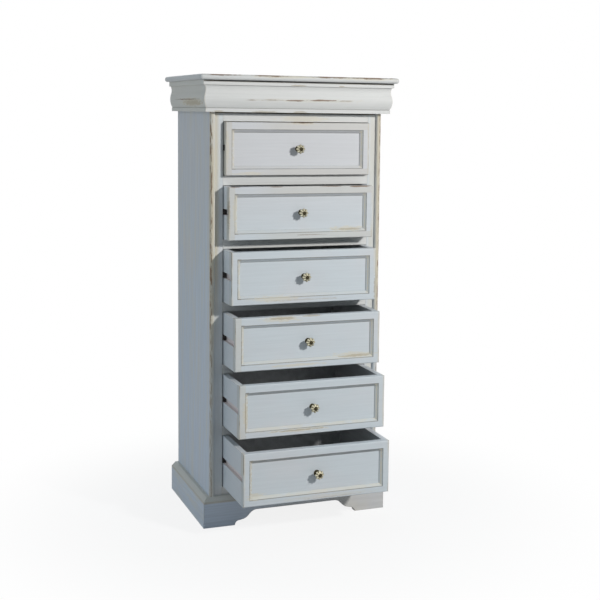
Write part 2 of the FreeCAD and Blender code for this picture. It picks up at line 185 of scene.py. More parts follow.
class StageSettings(bpy.types.PropertyGroup):
    """Camera and lights."""

    camera_place: bpy.props.FloatVectorProperty(
        name="Camera", description="Place of the camera", subtype="TRANSLATION", size=3,
        default=(-1.1000, -3.4633, 1.1564),
    )
    yaw: bpy.props.FloatProperty(
        name="Yaw", description="Turn of the view to the right", subtype="ANGLE",
        default=math.radians(21.57),
    )
    pitch: bpy.props.FloatProperty(
        name="Pitch", description="Tilt of the view downwards", subtype="ANGLE",
        default=math.radians(6.258),
    )
    roll: bpy.props.FloatProperty(
        name="Roll", description="Roll of the view", subtype="ANGLE", default=math.radians(0.771)
    )
    lens: bpy.props.FloatProperty(
        name="Lens", description="Focal length", subtype="DISTANCE_CAMERA", default=71.03
    )
    shift: bpy.props.FloatVectorProperty(
        name="Shift", description="Shift of the picture's middle", size=2,
        default=(-0.0648, -0.0984),
    )
    key_place: bpy.props.FloatVectorProperty(
        name="Key place", description="Place of the key lamp", subtype="TRANSLATION", size=3,
        default=(1.51, -3.17, 2.06),
    )
    key_power: bpy.props.FloatProperty(
        name="Key power", description="Power of the key lamp", subtype="POWER", unit="POWER",
        default=80.0,
    )
    side_power: bpy.props.FloatProperty(
        name="Side power", description="Power of the wide soft lamp on the left",
        subtype="POWER", unit="POWER", default=25.0,
    )
    back_power: bpy.props.FloatProperty(
        name="Back power", description="Power of the wide soft lamp behind", subtype="POWER",
        unit="POWER", default=28.0,
    )
    fill: bpy.props.FloatProperty(
        name="Fill", description="Strength of the even light all round", default=0.21, min=0.0
    )


class Nodes:
    """Adds nodes to the tree of a material or of the world, socket by socket."""

    def __init__(self, tree):
        self.tree = tree

    def node(self, kind, **settings):
        """A new node with its settings."""
        made = self.tree.nodes.new(kind)
        for name, value in settings.items():
            setattr(made, name, value)
        return made

    def feed(self, socket, value):
        """Links a socket to another one, or sets its value."""
        if isinstance(value, bpy.types.NodeSocket):
            self.tree.links.new(value, socket)
        else:
            socket.default_value = value

    def math(self, operation, first, second=0.0):
        """One operation on two numbers."""
        made = self.node("ShaderNodeMath", operation=operation)
        self.feed(made.inputs[0], first)
        self.feed(made.inputs[1], second)
        return made.outputs[0]

    def vector(self, operation, first, second=(0, 0, 0), output="Vector"):
        """One operation on two vectors or colours."""
        made = self.node("ShaderNodeVectorMath", operation=operation)
        self.feed(made.inputs[0], first)
        self.feed(made.inputs[1], second)
        return made.outputs[output]

    def times(self, first, *others):
        """The product of several values."""
        for other in others:
            first = self.math("MULTIPLY", first, other)
        return first

    def most(self, first, *others):
        """The largest of several values."""
        for other in others:
            first = self.math("MAXIMUM", first, other)
        return first

    def step(self, value, start, end, low=0.0, high=1.0):
        """A smooth step of a value from start to end."""
        made = self.node("ShaderNodeMapRange", interpolation_type="SMOOTHSTEP")
        given = {"From Min": start, "From Max": end, "To Min": low, "To Max": high}
        for name, limit in given.items():
            made.inputs[name].default_value = limit
        self.feed(made.inputs["Value"], value)
        return made.outputs["Result"]

    def mix(self, share, first, second):
        """A colour between two others."""
        made = self.node("ShaderNodeMix", data_type="RGBA")
        self.feed(made.inputs[0], share)
        for socket, value in ((made.inputs[6], first), (made.inputs[7], second)):
            self.feed(socket, value if isinstance(value, bpy.types.NodeSocket) else (*value, 1.0))
        return made.outputs[2]

    def background_rays(self):
        """1 for what the camera sees, also in a reflection or through glass."""
        path = self.node("ShaderNodeLightPath").outputs
        return self.most(path["Is Camera Ray"], path["Is Glossy Ray"], path["Is Transmission Ray"])

    def surface(self, output, share, first, second):
        """Mixes two shaders by a share and gives them to the named output."""
        mixed = self.node("ShaderNodeMixShader")
        for socket, value in zip(mixed.inputs, (share, first, second)):
            self.feed(socket, value)
        self.feed(self.tree.nodes[output].inputs["Surface"], mixed.outputs[0])


class Finish(Nodes):
    """Builds one procedural material."""

    def __init__(self, name):
        self.material = bpy.data.materials.new(name)
        self.material.use_nodes = True
        super().__init__(self.material.node_tree)
        self.shader = self.tree.nodes["Principled BSDF"]
        self.place = self.node("ShaderNodeTexCoord").outputs["Object"]

    def noise(self, scale, detail, roughness, shift=(0, 0, 0)):
        """Noise whose size is given per metre along each axis."""
        moved = self.vector("ADD", self.place, shift)
        made = self.node("ShaderNodeTexNoise")
        self.feed(made.inputs["Vector"], self.vector("MULTIPLY", moved, scale))
        made.inputs["Scale"].default_value = 1.0
        made.inputs["Detail"].default_value = detail
        made.inputs["Roughness"].default_value = roughness
        return made.outputs["Fac"]

    def axis(self, letter):
        """One coordinate of a point."""
        apart = self.node("ShaderNodeSeparateXYZ")
        self.feed(apart.inputs[0], self.place)
        return apart.outputs[letter]

    def edge(self, radius):
        """How near a face is to an edge of its own piece, from 0 on the flat."""
        rounded = self.node("ShaderNodeBevel", samples=EDGE_SAMPLES)
        rounded.inputs["Radius"].default_value = radius
        normal = self.node("ShaderNodeNewGeometry").outputs["Normal"]
        along = self.vector("DOT_PRODUCT", rounded.outputs["Normal"], normal, "Value")
        return self.math("SUBTRACT", 1.0, along)

    def open_air(self, distance):
        """1 on a flat or an outer edge, less in the hollows of the same piece."""
        made = self.node("ShaderNodeAmbientOcclusion", samples=EDGE_SAMPLES, only_local=True)
        made.inputs["Distance"].default_value = distance
        return made.outputs["AO"]

    def stroke(self, centre, half, ragged):
        """A soft patch about a place, with ragged borders."""
        away = self.vector("DIVIDE", self.vector("SUBTRACT", self.place, centre), half)
        far = self.vector("LENGTH", away, output="Value")
        return self.step(self.math("ADD", far, ragged), PATCH_RIM, PATCH_CORE)

    def finish(self, colour, roughness, height, strength, distance=0.001, rounding=0.0):
        """Joins the looks to the shader, with bump and, if asked, softly rounded edges."""
        self.feed(self.shader.inputs["Base Color"], colour)
        self.feed(self.shader.inputs["Roughness"], roughness)
        bump = self.node("ShaderNodeBump")
        bump.inputs["Strength"].default_value = strength
        bump.inputs["Distance"].default_value = distance
        self.feed(bump.inputs["Height"], height)
        if rounding:
            rounded = self.node("ShaderNodeBevel", samples=EDGE_SAMPLES)
            rounded.inputs["Radius"].default_value = rounding
            self.feed(bump.inputs["Normal"], rounded.outputs["Normal"])
        self.feed(self.shader.inputs["Normal"], bump.outputs["Normal"])
        return self.material


def along_axis(axis, along, across):
    """Noise scale that is long along one axis."""
    return tuple(along if i == axis else across for i in range(3))


class Paint(Finish):
    """Brushed paint over cream undercoat over wood, rubbed through along the edges.

    The brush ran along the given axis. halo, rub and chip are the shares of cream, ochre and brown,
    and dust is the share of glaze in the hollows, darkening that is partly dirt and partly painted
    shade. aged raises the share of yellowed paint, and shaded is the share of the bluish colour of
    shade painted onto the paint.
    """

    UNDER = {"glaze_and_shade": "glaze_and_shade", "halo": "cream", "rub": "ochre", "chip": "brown"}

    def __init__(
        self, name, axis, shift, halo, rub, chip, dust_and_shade=0.55, streaks=1.0, white=0.0, brush=170.0
    ):
        super().__init__(name)
        self.white = white
        self.aged = 0.0
        self.shaded = 0.0
        self.brush = self.noise(along_axis(axis, 6.0, brush), 6.0, 0.65, shift)
        self.cloud = self.noise((6.0, 6.0, 6.0), 3.0, 0.5, shift)
        self.fleck = self.noise(along_axis(axis, 36.0, 150.0), 5.0, 0.6, shift)
        coarse = self.noise(along_axis(axis, 60.0, 260.0), 5.0, 0.7, shift)
        self.ragged = self.times(self.math("SUBTRACT", coarse, 0.5), RAGGEDNESS)
        self.streaks = streaks
        air = self.open_air(HOLLOW_REACH)
        edge = self.times(self.edge(EDGE_REACH), self.step(air, 0.55, 0.85))
        thin = self.step(edge, 0.08, 0.22)
        self.layers = {
            # Darker in the hollows by occlusion: painted shade, together with dirt
            "glaze_and_shade": self.step(air, 0.8, 0.42, 0.0, dust_and_shade),
            "halo": self.times(
                self.step(edge, 0.01, 0.14), self.step(self.cloud, 0.36, 0.66), halo
            ),
            "rub": self.times(
                thin, self.step(self.fleck, 0.46, 0.64), self.step(self.cloud, 0.36, 0.62), rub
            ),
            "chip": self.times(thin, self.step(self.fleck, 0.6, 0.7), chip),
        }

    def add(self, layer, strength, *masks):
        """Lays more of one layer on, where all the masks meet."""
        self.layers[layer] = self.most(self.layers[layer], self.times(*masks, strength))

    def wear(self, table):
        """Ragged patches from rows of a layer, a strength, and middles with half sizes."""
        for layer, strength, *patches in table:
            for centre, half in patches:
                self.add(layer, strength, self.stroke(centre, half, self.ragged))

    def looks(self):
        """Colour, roughness and height of the paint with its wear."""
        paint = bpy.context.scene.semainier_paint
        aged = self.most(self.step(self.cloud, 0.4, 0.85), self.aged)
        colour = tuple(paint.cool)
        others = ((aged, paint.warm), (self.shaded, paint.blue), (self.white, paint.white))
        for share, other in others:
            colour = self.mix(share, colour, tuple(other))
        low, high = 1 - 0.055 * self.streaks, 1 + 0.03 * self.streaks
        colour = self.vector("MULTIPLY", colour, self.step(self.brush, 0.28, 0.72, low, high))
        for layer, under in self.UNDER.items():
            colour = self.mix(self.layers[layer], colour, tuple(getattr(paint, under)))
        roughness = self.step(self.brush, 0.2, 0.8, 0.5, 0.66)
        lost = self.most(self.layers["rub"], self.layers["chip"])
        height = self.math("SUBTRACT", self.times(self.brush, 0.5), lost)
        return colour, roughness, height

    def done(self, rounding=0.0):
        """The material, its edges softly rounded if asked."""
        return self.finish(*self.looks(), PAINT_BUMP, rounding=rounding)


def paint_nodes(names, material):
    """Gives the named pieces of the frame one material."""
    for name in names:
        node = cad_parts[name]
        node.data.materials.clear()
        node.data.materials.append(material)


def bare_pine():
    """Unpainted boards of the back and the inside."""
    wood = bpy.context.scene.semainier_wood
    it = Finish("bare_pine")
    grain = it.noise((90.0, 8.0, 6.0), 6.0, 0.6)
    dark = tuple(0.62 * c for c in wood.pine)
    colour = it.mix(it.step(grain, 0.3, 0.7), dark, tuple(wood.pine))
    return it.finish(colour, it.step(grain, 0.2, 0.8, 0.6, 0.8), grain, 0.3)


def stained_wood(it):
    """Colour and grain of the insides of the drawers."""
    wood = bpy.context.scene.semainier_wood
    grain = it.noise((60.0, 7.0, 60.0), 6.0, 0.6)
    light = tuple(1.2 * c for c in wood.lining)
    return it.mix(it.step(grain, 0.3, 0.7), tuple(wood.lining), light), grain


def height_in_drawer(it):
    """Height above the lower edge of the drawer that a point belongs to."""
    start = LOWEST_DRAWER - ROW_MARGIN
    rows = it.math("DIVIDE", it.math("SUBTRACT", it.axis("Z"), start), DRAWER_PITCH)
    return it.math("SUBTRACT", it.times(it.math("FRACT", rows), DRAWER_PITCH), ROW_MARGIN)


class SEMAINIER_OT_carcass(bpy.types.Operator):
    """Paint the sides and the face frame, and leave the back and the blocks bare"""

    bl_idname = "semainier.carcass"
    bl_label = "Carcass"

    def execute(self, context):
        paint_nodes(("side_panel_left", "side_panel_right"), self.side())
        paint_nodes(("stile_left", "stile_right"), self.stile())
        paint_nodes(("top_rail", "divider_rails", "bottom_rail"), self.rail())
        unpainted = ("back_panel", "bottom_board", "corner_blocks", "runner_battens", "plinth_back")
        paint_nodes(unpainted, bare_pine())
        return {"FINISHED"}

    def side(self):
        """Paint with upright streaks, worn through along the front corner, most of all high up."""
        it = Paint(
            "rubbed_paint_side", 2, (0.31, 0.12, 0.7),
            halo=0.7, rub=0.3, chip=0.3, streaks=1.5, brush=60.0,
        )
        it.aged = it.step(it.axis("Z"), 0.6, 1.1, 0.0, 0.8)
        # Painted shade: bluer towards the bottom of the side
        it.shaded = it.step(it.axis("Z"), 1.0, 0.3, 0.15, 0.75)
        streak = it.noise((44.0, 44.0, 5.0), 5.0, 0.65, (0.2, 0.5, 0.1))
        it.add("halo", 0.42, it.step(streak, 0.42, 0.7))
        corner = it.node("ShaderNodeCombineXYZ")
        outwards = it.math("ABSOLUTE", it.axis("X"))
        it.feed(corner.inputs["X"], it.math("SUBTRACT", outwards, SIDE_FACE))
        it.feed(corner.inputs["Y"], it.math("SUBTRACT", it.axis("Y"), SIDE_FRONT))
        near = it.vector("LENGTH", corner.outputs[0], output="Value")
        high = it.step(it.axis("Z"), 0.35, 0.75, 0.55, 1.0)
        it.add("halo", 0.9, it.step(near, 0.018, 0.008), it.step(it.cloud, 0.25, 0.5), high)
        it.add("rub", 0.26, it.step(near, 0.014, 0.006), it.step(it.cloud, 0.3, 0.55), high)
        # Darker along the front corner of the right side
        it.add("glaze_and_shade", 0.09, it.step(it.axis("X"), 0.2, 0.24), it.step(near, 0.02, 0.01))
        dash = it.noise((420.0, 420.0, 36.0), 4.0, 0.55)
        worn = it.times(it.step(near, 0.0068, 0.0042), high)
        it.add("rub", 0.75, worn, it.step(dash, 0.45, 0.55))
        it.add("chip", 0.95, worn, it.step(dash, 0.49, 0.56))
        return it.done(EASED_EDGE)

    def stile(self):
        """Paint that has yellowed on the left and a little on the right."""
        it = Paint(
            "rubbed_paint_stile", 2, (0.57, 0.42, 0.1), halo=0.5, rub=0.5, chip=0.4, white=0.4
        )
        yellowed = it.times(
            it.step(it.axis("X"), -0.220, -0.233), it.step(it.axis("Z"), 0.45, 0.8)
        )
        it.add("halo", 0.9, yellowed, it.step(it.cloud, 0.25, 0.6, 0.6, 1.0))
        it.add("rub", 0.2, yellowed)
        it.add("halo", 0.35, it.step(it.axis("X"), 0.215, 0.225))
        return it.done(EASED_EDGE)

    def rail(self):
        """White paint, rubbed in one place over the top drawer."""
        it = Paint(
            "rubbed_paint_rail", 0, (0.11, 0.52, 0.2), halo=0.5, rub=0.5, chip=0.4, white=0.9
        )
        it.wear((("halo", 0.5, ((0.02, -0.355, 1.133), (0.08, 0.02, 0.008))),))
        return it.done(EASED_EDGE)


# Worn patches of the top board: layer, strength, then the middle and half size of each
TOP_WEAR = (
    (
        "halo", 0.6,
        ((-0.05, -0.400, 1.247), (0.12, 0.012, 0.005)),
        ((0.18, -0.400, 1.246), (0.12, 0.012, 0.005)),
    ),
    (
        "chip", 0.9,
        ((-0.23, -0.400, 1.2500), (0.05, 0.009, 0.0042)),
        ((-0.10, -0.400, 1.2500), (0.05, 0.009, 0.0048)),
        ((0.08, -0.400, 1.2500), (0.06, 0.009, 0.0052)),
        ((0.20, -0.400, 1.2500), (0.07, 0.009, 0.0050)),
    ),
)


class SEMAINIER_OT_top(bpy.types.Operator):
    """Paint the top board"""

    bl_idname = "semainier.top"
    bl_label = "Top board"

    def execute(self, context):
        it = Paint("rubbed_paint_top", 0, (0.9, 0.22, 0.4), halo=0.5, rub=0.3, chip=0.3, white=0.8)
        it.wear(TOP_WEAR)
        paint_nodes(("top_board",), it.done())
        return {"FINISHED"}


# Worn patches of the cornice, given in the same way
CORNICE_FRONT_WEAR = (
    ("halo", 0.3, ((0.03, -0.387, 1.184), (0.16, 0.012, 0.005))),
    (
        "chip", 0.9,
        ((-0.014, -0.387, 1.1832), (0.032, 0.012, 0.0021)),
        ((0.062, -0.387, 1.1846), (0.046, 0.012, 0.0023)),
    ),
    (
        "chip", 0.5,
        ((-0.144, -0.387, 1.1830), (0.012, 0.012, 0.0017)),
        ((-0.084, -0.387, 1.1836), (0.036, 0.012, 0.0017)),
        ((0.128, -0.387, 1.1842), (0.026, 0.012, 0.0017)),
    ),
    (
        "rub", 0.55,
        ((-0.231, -0.382, 1.1515), (0.016, 0.008, 0.0028)),
        ((-0.103, -0.382, 1.1515), (0.036, 0.008, 0.0026)),
        ((-0.003, -0.382, 1.1520), (0.024, 0.008, 0.0026)),
        ((-0.012, -0.390, 1.2240), (0.026, 0.008, 0.0022)),
        ((0.117, -0.390, 1.2245), (0.008, 0.008, 0.0018)),
    ),
)
CORNICE_SIDE_WEAR = (
    ("halo", 0.9, ((-0.272, -0.25, 1.176), (0.012, 0.14, 0.014))),
    ("rub", 0.5, ((-0.272, -0.26, 1.174), (0.012, 0.10, 0.009))),
    ("chip", 0.85, ((-0.273, -0.20, 1.184), (0.012, 0.13, 0.0017))),
)


class SEMAINIER_OT_cornice(bpy.types.Operator):
    """Paint the ogee mouldings on the sides and on the front of the seventh drawer"""

    bl_idname = "semainier.cornice"
    bl_label = "Cornice"

    def execute(self, context):
        it = Paint(
            "rubbed_paint_cornice_front", 0, (0.4, 0.9, 0.1),
            halo=0.35, rub=0.2, chip=0.2, white=0.9,
        )
        # Dark band at the top of the frieze front: painted shadow of the top board, with dirt
        below_top = it.math("SUBTRACT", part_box("frieze_drawer_front")[1][2], it.axis("Z"))
        it.add("glaze_and_shade", 0.95, it.step(below_top, 0.0022, 0.0012))
        it.wear(CORNICE_FRONT_WEAR)
        paint_nodes(("frieze_drawer_front",), it.done())
        it = Paint(
            "rubbed_paint_cornice_side", 1, (0.6, 0.3, 0.8),
            halo=0.35, rub=0.2, chip=0.2, white=0.9,
        )
        it.add("halo", 0.35, it.step(it.cloud, 0.2, 0.6, 0.6, 1.0))
        it.wear(CORNICE_SIDE_WEAR)
        paint_nodes(("cornice_left", "cornice_right"), it.done())
        return {"FINISHED"}


class SEMAINIER_OT_plinth(bpy.types.Operator):
    """Paint the plinth boards"""

    bl_idname = "semainier.plinth"
    bl_label = "Plinth"

    def execute(self, context):
        it = Paint(
            "rubbed_paint_plinth_front", 0, (0.2, 0.7, 0.6),
            halo=0.6, rub=0.5, chip=0.5, streaks=1.6,
        )
        it.aged = it.step(it.axis("X"), -0.1, 0.15)
        # Painted shade: bluish on the left of the front, in the lowest drawer's shadow
        it.shaded = it.step(it.axis("X"), 0.0, -0.2, 0.0, 0.9)
        right_foot = it.step(it.axis("X"), 0.05, 0.2)
        it.add("halo", 0.4, right_foot, it.step(it.cloud, 0.3, 0.6))
        # A little darker on the right foot
        it.add("glaze_and_shade", 0.07, right_foot)
        self.rub_upper_edge(it)
        paint_nodes(("plinth_front",), it.done(EASED_EDGE))
        it = Paint(
            "rubbed_paint_plinth_side", 1, (0.8, 0.1, 0.3),
            halo=0.6, rub=0.5, chip=0.5, streaks=1.6,
        )
        # Painted shade: bluish over the whole side
        it.shaded = 0.6
        it.add("halo", 0.42, it.step(it.noise((40.0, 9.0, 40.0), 5.0, 0.65), 0.42, 0.7))
        self.rub_upper_edge(it)
        paint_nodes(("plinth_left", "plinth_right"), it.done(EASED_EDGE))
        return {"FINISHED"}

    def rub_upper_edge(self, it):
        """Cream on the bevel, and a line of rubbed wood along its lower edge."""
        down = it.math("SUBTRACT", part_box("plinth_left")[1][2], it.axis("Z"))
        it.add("halo", 0.6, it.step(down, 0.017, 0.011), it.step(it.cloud, 0.2, 0.45, 0.4, 1.0))
        it.add("rub", 0.38, it.step(down, 0.017, 0.0135), it.step(down, 0.009, 0.0115))


# Worn patches of the drawer fronts, given in the same way
FRONT_WEAR = (
    (
        "halo", 0.6,
        ((0.012, -0.372, 1.121), (0.05, 0.02, 0.005)),
        ((-0.193, -0.403, 0.885), (0.006, 0.02, 0.05)),
        ((0.135, -0.40, 0.829), (0.06, 0.02, 0.008)),
        ((-0.09, -0.43, 0.645), (0.07, 0.02, 0.009)),
        ((-0.08, -0.468, 0.595), (0.06, 0.02, 0.009)),
        ((0.135, -0.465, 0.482), (0.07, 0.02, 0.009)),
        ((-0.193, -0.506, 0.352), (0.008, 0.02, 0.045)),
        ((-0.175, -0.546, 0.134), (0.03, 0.02, 0.01)),
        ((-0.206, -0.372, 1.050), (0.006, 0.02, 0.06)),
        ((-0.140, -0.372, 0.984), (0.05, 0.02, 0.005)),
        ((-0.030, -0.468, 0.466), (0.09, 0.02, 0.004)),
        ((-0.045, -0.509, 0.2955), (0.09, 0.02, 0.005)),
    ),
    ("halo", 0.25, ((0.020, -0.549, 0.117), (0.15, 0.02, 0.005))),
    (
        "rub", 0.6,
        ((0.01, -0.372, 1.1225), (0.04, 0.02, 0.002)),
        ((0.145, -0.40, 0.828), (0.05, 0.02, 0.003)),
        ((-0.08, -0.468, 0.5965), (0.04, 0.02, 0.004)),
        ((0.008, -0.468, 0.600), (0.03, 0.02, 0.002)),
        ((0.14, -0.465, 0.480), (0.05, 0.02, 0.003)),
        ((-0.2085, -0.403, 0.877), (0.003, 0.02, 0.05)),
        ((0.2085, -0.432, 0.665), (0.003, 0.02, 0.035)),
        ((-0.192, -0.506, 0.345), (0.0025, 0.02, 0.05)),
        ((-0.045, -0.509, 0.2955), (0.07, 0.02, 0.0020)),
    ),
    (
        "rub", 0.3,
        ((0.000, -0.432, 0.6395), (0.11, 0.02, 0.0024)),
        ((0.060, -0.549, 0.1135), (0.10, 0.02, 0.0018)),
    ),
    (
        "chip", 0.6,
        ((-0.190, -0.403, 0.9488), (0.018, 0.02, 0.0016)),
        ((-0.075, -0.403, 0.9488), (0.022, 0.02, 0.0018)),
        ((0.090, -0.403, 0.9488), (0.035, 0.02, 0.0018)),
        ((0.024, -0.403, 0.8155), (0.045, 0.02, 0.0013)),
    ),
    (
        "chip", 0.9,
        ((0.172, -0.403, 0.9480), (0.036, 0.02, 0.0020)),
        ((0.012, -0.372, 1.1228), (0.035, 0.02, 0.0012)),
    ),
)


class SEMAINIER_OT_drawers(bpy.types.Operator):
    """Paint the drawer fronts and the outsides of the drawer boxes, and stain the insides"""

    bl_idname = "semainier.drawers"
    bl_label = "Drawers"

    def execute(self, context):
        paint_nodes([f"drawer_{k}_front" for k in DRAWERS], self.front())
        sides = [f"drawer_{k}_side_{hand}" for k in DRAWERS for hand in ("left", "right")]
        paint_nodes(sides, self.box_side())
        it = Finish("dark_lining")
        colour, grain = stained_wood(it)
        boards = [f"drawer_{k}_{board}" for k in DRAWERS for board in ("back", "bottom")]
        hidden = ("side_left", "side_right", "back", "bottom")
        boards += [f"frieze_drawer_{board}" for board in hidden]
        roughness = it.step(grain, 0.2, 0.8, 0.45, 0.65)
        paint_nodes(boards, it.finish(colour, roughness, grain, 0.2))
        return {"FINISHED"}

    def front(self):
        """Dirt and painted shade on rubbed mouldings, with yellowed borders and worn arrises."""
        it = Paint(
            "rubbed_paint_front", 0, (0.7, 0.4, 0.9),
            halo=0.55, rub=0.4, chip=0.35, dust_and_shade=0.3, streaks=0.7,
        )
        it.aged = it.step(it.axis("Z"), 0.75, 1.05)
        across, up = it.axis("X"), height_in_drawer(it)
        above = it.math("SUBTRACT", up, FRONT_HEIGHT - BORDER_TOP)
        under = it.math("SUBTRACT", BORDER_BOTTOM, up)
        beyond = it.most(above, under)
        self.wear_moulding(it, across, up, beyond)
        self.yellow_borders(it, across, beyond)
        self.wear_ends(it, across)
        it.wear(FRONT_WEAR)
        return it.done(EASED_FRONT)

    def wear_moulding(self, it, across, up, beyond):
        """Dirt and painted shadow at the moulding's edges, and cream and wood on its slopes."""
        beside = it.math("SUBTRACT", it.math("ABSOLUTE", across), FRONT_HALF - BORDER_SIDE)
        inwards = it.times(it.most(beside, beyond), -1.0)

        def band(start, end, soft):
            """1 between two distances inwards from the outer edge of the moulding."""
            return it.times(
                it.step(inwards, start - soft, start + soft),
                it.step(inwards, end + soft, end - soft),
            )

        width = MOULDING_WIDTH
        reach = FRONT_HALF - BORDER_SIDE - width
        head = FRONT_HEIGHT - BORDER_TOP - width
        foot = BORDER_BOTTOM + width
        left = it.step(across, FEATHER - reach, -reach)
        right = it.step(across, reach - FEATHER, reach)
        upper = it.step(up, head - FEATHER, head)
        below = it.step(up, foot + SOFT_LINE, foot - SOFT_LINE)
        lower_drawers = it.step(it.axis("Z"), 0.7, 0.25, 0.35, 1.0)
        quirk = band(-0.0004, 0.001, 0.0004)
        lip = band(-0.0013, 0.0012, 0.0005)
        strip = band(0.0011, width, 0.0008)
        middle = band(0.002, width - 0.002, 0.0008)
        inner_edge = band(width - 0.0004, width + 0.0011, 0.0005)
        # Dirt and a painted shadow line in the quirk, all round the moulding
        it.add("glaze_and_shade", 0.9, quirk, it.step(it.cloud, 0.2, 0.5, 0.5, 1.0))
        it.add("glaze_and_shade", 1.0, lip, left, it.step(it.fleck, 0.3, 0.6, 0.2, 0.8))
        # Painted shade along the inner edge on the right and at the top, the sides that face away
        # from the light
        it.add("glaze_and_shade", 0.55, inner_edge, it.most(right, upper))
        # Painted shade over the downward-facing upper slope, most on the lower drawers where light
        # falls steeply
        it.add("glaze_and_shade", 0.6, strip, upper, lower_drawers, it.step(it.fleck, 0.25, 0.6, 0.6, 1.0))
        it.add("halo", 1.0, strip, below, lower_drawers, it.step(it.fleck, 0.3, 0.55, 0.1, 0.5))
        it.add("halo", 1.0, strip, left, it.step(it.fleck, 0.3, 0.6, 0.1, 0.6))
        it.add("rub", 0.4, strip, left, lower_drawers, it.step(it.fleck, 0.35, 0.65))
        it.add("halo", 1.0, middle, right, it.step(it.fleck, 0.3, 0.6, 0.3, 0.8))

    def yellow_borders(self, it, across, beyond):
        """Thin paint on the left of four drawers, and over and under the panels of the top two."""
        height = it.axis("Z")
        top_pair = it.step(height, *GAP_2_3)
        middle_pair = it.times(it.step(height, *GAP_5_6), it.step(height, *reversed(GAP_3_4)))
        edge = BORDER_SIDE - FRONT_HALF
        flank = it.step(across, edge + SOFT_LINE, edge - SOFT_LINE)
        level = it.times(it.step(beyond, 0.0, SOFT_LINE), it.step(across, -0.16, -0.04))
        flanks = it.times(flank, it.most(top_pair, middle_pair))
        yellowed = it.most(flanks, it.times(level, top_pair))
        it.add("halo", 0.2, yellowed)
        it.add("rub", 0.11, yellowed)

    def wear_ends(self, it, across):
        """Broken lines of bare wood along the upright edges of the fronts."""
        rim = it.math("SUBTRACT", FRONT_HALF, it.math("ABSOLUTE", across))
        dash = it.noise((300.0, 300.0, 24.0), 4.0, 0.55, (0.3, 0.6, 0.2))
        worn = it.times(it.step(rim, 0.0026, 0.0014), it.step(rim, 0.0, 0.0004))
        it.add("halo", 0.5, it.step(rim, 0.008, 0.003), it.step(it.cloud, 0.4, 0.65))
        it.add("rub", 0.65, worn, it.step(dash, 0.40, 0.54))
        it.add("chip", 0.6, worn, it.step(dash, 0.52, 0.61))

    def box_side(self):
        """Paint, whiter on the upper drawers as painted light, bare runner grooves, and stain
        inside.
        """
        it = Paint("rubbed_paint_box", 1, (0.1, 0.8, 0.5), halo=0.5, rub=0.3, chip=0.3)
        colour, roughness, height = it.looks()
        paler_and_lit = tuple(bpy.context.scene.semainier_paint.box)
        # Paler paint all over, and whiter still on the upper drawers: painted light
        colour = it.mix(it.step(it.axis("Z"), 0.6, 0.9, 0.5, 0.9), colour, paler_and_lit)
        lining, _ = stained_wood(it)
        away = it.math("ABSOLUTE", it.axis("X"))
        inner_face = FRONT_HALF - BOX_SIDE
        inside = it.step(away, inner_face + 0.0010, inner_face + 0.0002)
        offset = it.math("ABSOLUTE", it.math("SUBTRACT", height_in_drawer(it), GROOVE_MIDDLE))
        groove = it.times(
            it.step(away, FRONT_HALF - 0.0004, FRONT_HALF - 0.0012),
            it.step(offset, GROOVE_HALF + 0.0004, GROOVE_HALF),
        )
        colour = it.mix(groove, colour, tuple(bpy.context.scene.semainier_wood.groove))
        colour = it.mix(inside, colour, lining)
        return it.finish(colour, roughness, height, PAINT_BUMP)


class SEMAINIER_OT_runners(bpy.types.Operator):
    """Blacken the waxed runners"""

    bl_idname = "semainier.runners"
    bl_label = "Runners"

    def execute(self, context):
        wood = context.scene.semainier_wood
        it = Finish("waxed_runner")
        grain = it.noise((60.0, 9.0, 60.0), 5.0, 0.6)
        colour = it.mix(grain, tuple(wood.runner_dark), tuple(wood.runner))
        roughness = it.step(grain, 0.2, 0.8, 0.35, 0.55)
        paint_nodes(("drawer_runners",), it.finish(colour, roughness, grain, 0.2))
        return {"FINISHED"}


# Outline of a knob from the panel outwards: share of the reach, share of the radius, depth of the
# petals, patina
KNOB_OUTLINE = (
    (0.000, 0.64, 0.00, 0.8),
    (0.045, 0.64, 0.00, 0.6),
    (0.070, 0.58, 0.00, 0.9),
    (0.110, 0.44, 0.00, 1.0),
    (0.180, 0.37, 0.00, 1.0),
    (0.320, 0.35, 0.00, 1.0),
    (0.450, 0.40, 0.02, 1.0),
    (0.540, 0.56, 0.10, 0.9),
    (0.620, 0.82, 0.20, 0.6),
    (0.690, 0.96, 0.26, 0.2),
    (0.740, 1.00, 0.26, 0.0),
    (0.790, 0.94, 0.25, 0.0),
    (0.850, 0.77, 0.22, 0.0),
    (0.900, 0.58, 0.18, 0.05),
    (0.925, 0.44, 0.12, 0.4),
    (0.925, 0.36, 0.05, 0.9),
    (0.910, 0.29, 0.00, 1.0),
    (0.940, 0.25, 0.00, 1.0),
    (0.980, 0.18, 0.00, 0.9),
    (0.997, 0.09, 0.00, 0.9),
)
PETAL_STEPS = 14
PETAL_SWELL = 0.6
PETAL_DROP = 0.35
FACE_START = 0.7
BOLT_RADIUS = 0.002
NUT_HALF = 0.0036
NUT_DEPTH = 0.002


def add_nut(shape, ring):
    """A square nut about the end ring of the bolt, closed behind."""
    start = ring[0].co.y
    corners = ((1, 1), (1, -1), (-1, -1), (-1, 1))
    front, rear = (
        [shape.verts.new((x * NUT_HALF, y, z * NUT_HALF)) for x, z in corners]
        for y in (start, start + NUT_DEPTH)
    )
    turns = len(ring)
    for i, vert in enumerate(ring):
        quarter, before = 4 * i // turns, 4 * (i - 1) // turns % 4
        shape.faces.new((vert, ring[(i + 1) % turns], front[quarter]))
        if quarter != before:
            shape.faces.new((front[before], vert, front[quarter]))
    for i in range(4):
        j = (i + 1) % 4
        shape.faces.new((front[i], front[j], rear[j], rear[i]))
    shape.faces.new(rear)
    return front + rear


